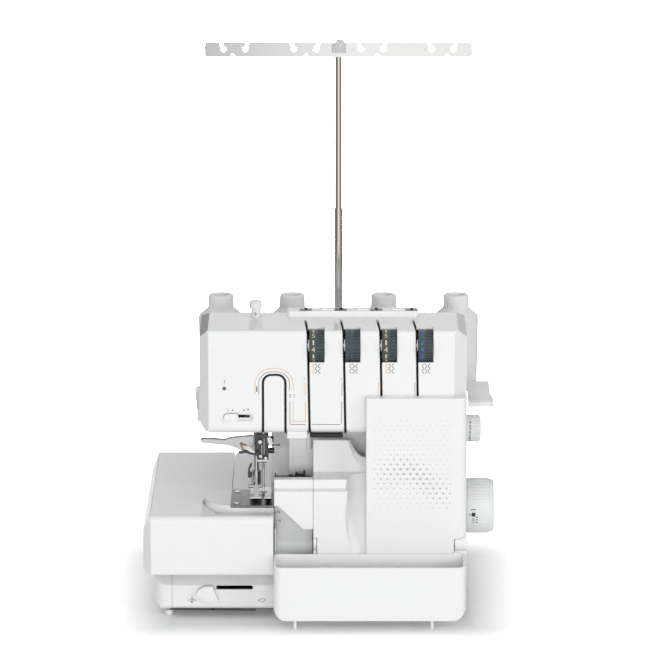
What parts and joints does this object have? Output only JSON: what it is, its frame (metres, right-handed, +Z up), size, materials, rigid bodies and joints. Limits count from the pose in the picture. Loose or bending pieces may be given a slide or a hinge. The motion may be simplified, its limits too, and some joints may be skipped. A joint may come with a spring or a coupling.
{
  "type": "overlock sewing machine",
  "caption": "Household overlock sewing machine with free arm, extension table, fold-down front cover, trim bin, tension dials and a telescopic thread stand.",
  "frame": {"origin": "on the surface the machine stands on, under the middle of its overall box", "axes": "+X to the operator's right, +Y to the back, +Z up"},
  "size_m": [0.356, 0.31, 0.5588],
  "materials": {
    "white_shell": "smooth white moulded ABS with a soft gloss",
    "pale_plastic": "pale grey-white moulded plastic, satin",
    "bin_plastic": "white moulded plastic, satin",
    "foot_plastic": "white plastic, matte",
    "cone_white": "white thread cone in a matte cap",
    "black_plastic": "black plastic, fine matte",
    "dial_charcoal": "charcoal plastic, fine matte",
    "grey_plastic": "mid-grey plastic, satin",
    "lens": "small grey lamp lens, glossy",
    "plate_steel": "ground steel with a fine grain",
    "polished_steel": "polished steel",
    "satin_metal": "satin nickel-plated steel",
    "dark_steel": "dark oxide steel",
    "cast_metal": "die-cast aluminium, as cast",
    "guide_aluminium": "polished aluminium sheet",
    "bronze": "sintered bronze",
    "motor_case": "grey enamelled steel",
    "belt_rubber": "black rubber, matte"
  },
  "bodies": {
    "machine": {"base_housing": "white_shell", "lever_panel": "white_shell", "bottom_plate": "dark_steel", "machine_feet": "foot_plastic", "main_housing": "white_shell", "right_side_cover": "white_shell", "head_front_cover": "white_shell", "head_rear_cover": "white_shell", "slot_liners": "black_plastic", "free_arm": "white_shell", "needle_plate": "plate_steel", "waste_chute": "pale_plastic", "machine_frame": "cast_metal", "shaft_bushes": "bronze", "motor": "motor_case", "drive_belt": "belt_rubber", "lower_knife": "polished_steel", "pivot_pins": "polished_steel", "tension_brackets": "satin_metal", "tension_discs": "polished_steel", "status_lens": "lens", "thread_cutter": "white_shell", "thread_guide_bar": "white_shell", "guide_clips": "dark_steel", "spool_stand": "white_shell", "spool_pins": "pale_plastic", "thread_cones": "cone_white", "pole_lower": "polished_steel", "power_inlet": "black_plastic"},
    "drive": {"main_shaft": "polished_steel", "handwheel": "pale_plastic", "drive_pulley": "black_plastic"},
    "motor_rotor": {"motor_pulley": "black_plastic"},
    "needle_carrier": {"needle_bar": "polished_steel", "needle_clamp": "dark_steel", "needles": "polished_steel"},
    "presser": {"presser_bar": "polished_steel", "presser_foot": "satin_metal"},
    "lifter": {"presser_lifter": "satin_metal"},
    "feed": {"feed_dogs": "satin_metal"},
    "knife": {"upper_knife": "dark_steel"},
    "looper_upper": {"upper_looper": "satin_metal"},
    "looper_lower": {"lower_looper": "satin_metal"},
    "dial_1": {"tension_dial_1": "dial_charcoal"},
    "dial_2": {"tension_dial_2": "dial_charcoal"},
    "dial_3": {"tension_dial_3": "dial_charcoal"},
    "dial_4": {"tension_dial_4": "dial_charcoal"},
    "pressure": {"pressure_knob": "pale_plastic"},
    "selector": {"needle_slider": "white_shell"},
    "cover": {"front_cover": "white_shell", "cover_lip": "white_shell"},
    "bin": {"trim_bin": "bin_plastic"},
    "table": {"extension_table": "white_shell"},
    "mode": {"mode_lever": "white_shell"},
    "stitch": {"stitch_dial": "pale_plastic"},
    "pump": {"pump_lever": "pale_plastic"},
    "pole": {"pole_upper": "polished_steel"},
    "guide": {"guide_holder": "pale_plastic", "thread_guide_plate": "guide_aluminium"},
    "rocker": {"power_switch": "black_plastic"}
  },
  "joints": [
    {"name": "handwheel_turn", "type": "hinge", "parent": "machine", "child": "drive", "pos_m": [0.148, -0.02, 0.096], "axis": [1, 0, 0], "continuous": true},
    {"name": "motor_turn", "type": "hinge", "parent": "machine", "child": "motor_rotor", "pos_m": [0.124, 0.062, 0.084], "axis": [1, 0, 0], "continuous": true},
    {"name": "needle_stroke", "type": "slide", "parent": "machine", "child": "needle_carrier", "axis": [0, 0, 1], "range_m": [-0.024, 0]},
    {"name": "presser_lift", "type": "slide", "parent": "machine", "child": "presser", "axis": [0, 0, 1], "range_m": [0, 0.006]},
    {"name": "lifter_swing", "type": "hinge", "parent": "machine", "child": "lifter", "pos_m": [-0.06, 0.008, 0.2], "axis": [0, 1, 0], "range_deg": [0, 20]},
    {"name": "feed_travel", "type": "slide", "parent": "machine", "child": "feed", "axis": [0, 1, 0], "range_m": [-0.002, 0.002]},
    {"name": "knife_swing", "type": "hinge", "parent": "machine", "child": "knife", "pos_m": [-0.02, -0.026, 0.134], "axis": [1, 0, 0], "range_deg": [-12, 0]},
    {"name": "upper_looper_swing", "type": "hinge", "parent": "machine", "child": "looper_upper", "pos_m": [0.014, -0.051, 0.092], "axis": [0, 1, 0], "range_deg": [-8, 10]},
    {"name": "lower_looper_swing", "type": "hinge", "parent": "machine", "child": "looper_lower", "pos_m": [-0.02, -0.046, 0.068], "axis": [0, 1, 0], "range_deg": [-12, 5]},
    {"name": "dial_1_turn", "type": "hinge", "parent": "machine", "child": "dial_1", "pos_m": [-0.0031, -0.086, 0.2785], "axis": [1, 0, 0], "range_deg": [-130, 130]},
    {"name": "dial_2_turn", "type": "hinge", "parent": "machine", "child": "dial_2", "pos_m": [0.0328, -0.086, 0.2785], "axis": [1, 0, 0], "range_deg": [-130, 130]},
    {"name": "dial_3_turn", "type": "hinge", "parent": "machine", "child": "dial_3", "pos_m": [0.0696, -0.086, 0.2785], "axis": [1, 0, 0], "range_deg": [-130, 130]},
    {"name": "dial_4_turn", "type": "hinge", "parent": "machine", "child": "dial_4", "pos_m": [0.1059, -0.086, 0.2785], "axis": [1, 0, 0], "range_deg": [-130, 130]},
    {"name": "pressure_turn", "type": "hinge", "parent": "machine", "child": "pressure", "pos_m": [-0.0647, -0.032, 0.3], "axis": [0, 0, 1], "range_deg": [-360, 360]},
    {"name": "needle_select", "type": "slide", "parent": "machine", "child": "selector", "axis": [1, 0, 0], "range_m": [0, 0.012]},
    {"name": "cover_open", "type": "hinge", "parent": "machine", "child": "cover", "pos_m": [0.06, -0.103, 0.079], "axis": [1, 0, 0], "range_deg": [0, 80]},
    {"name": "bin_pull", "type": "slide", "parent": "machine", "child": "bin", "axis": [0, -1, 0], "range_m": [0, 0.06]},
    {"name": "table_pull", "type": "slide", "parent": "machine", "child": "table", "axis": [-1, 0, 0], "range_m": [0, 0.14]},
    {"name": "mode_shift", "type": "slide", "parent": "machine", "child": "mode", "axis": [1, 0, 0], "range_m": [0, 0.038]},
    {"name": "stitch_turn", "type": "hinge", "parent": "machine", "child": "stitch", "pos_m": [0.15, -0.04, 0.182], "axis": [1, 0, 0], "range_deg": [-150, 150]},
    {"name": "pump_press", "type": "hinge", "parent": "machine", "child": "pump", "pos_m": [0.15, 0.02, 0.2135], "axis": [1, 0, 0], "range_deg": [0, 6.5], "stiffness_Nm_per_rad": 0.6, "springref_deg": -5.73},
    {"name": "pole_slide", "type": "slide", "parent": "machine", "child": "pole", "axis": [0, 0, 1], "range_m": [-0.14, 0]},
    {"name": "guide_swivel", "type": "hinge", "parent": "pole", "child": "guide", "pos_m": [0.0192, 0.105, 0.549], "axis": [0, 0, 1], "range_deg": [-90, 90]},
    {"name": "switch_rock", "type": "hinge", "parent": "machine", "child": "rocker", "pos_m": [0.144, 0.102, 0.0895], "axis": [0, 1, 0], "range_deg": [-6, 6]}
  ],
  "couplings": [
    {"joint": "motor_turn", "follows": "handwheel_turn", "ratio": 3.5556},
    {"joint": "presser_lift", "follows": "lifter_swing", "m_per_rad": 0.017188}
  ]
}
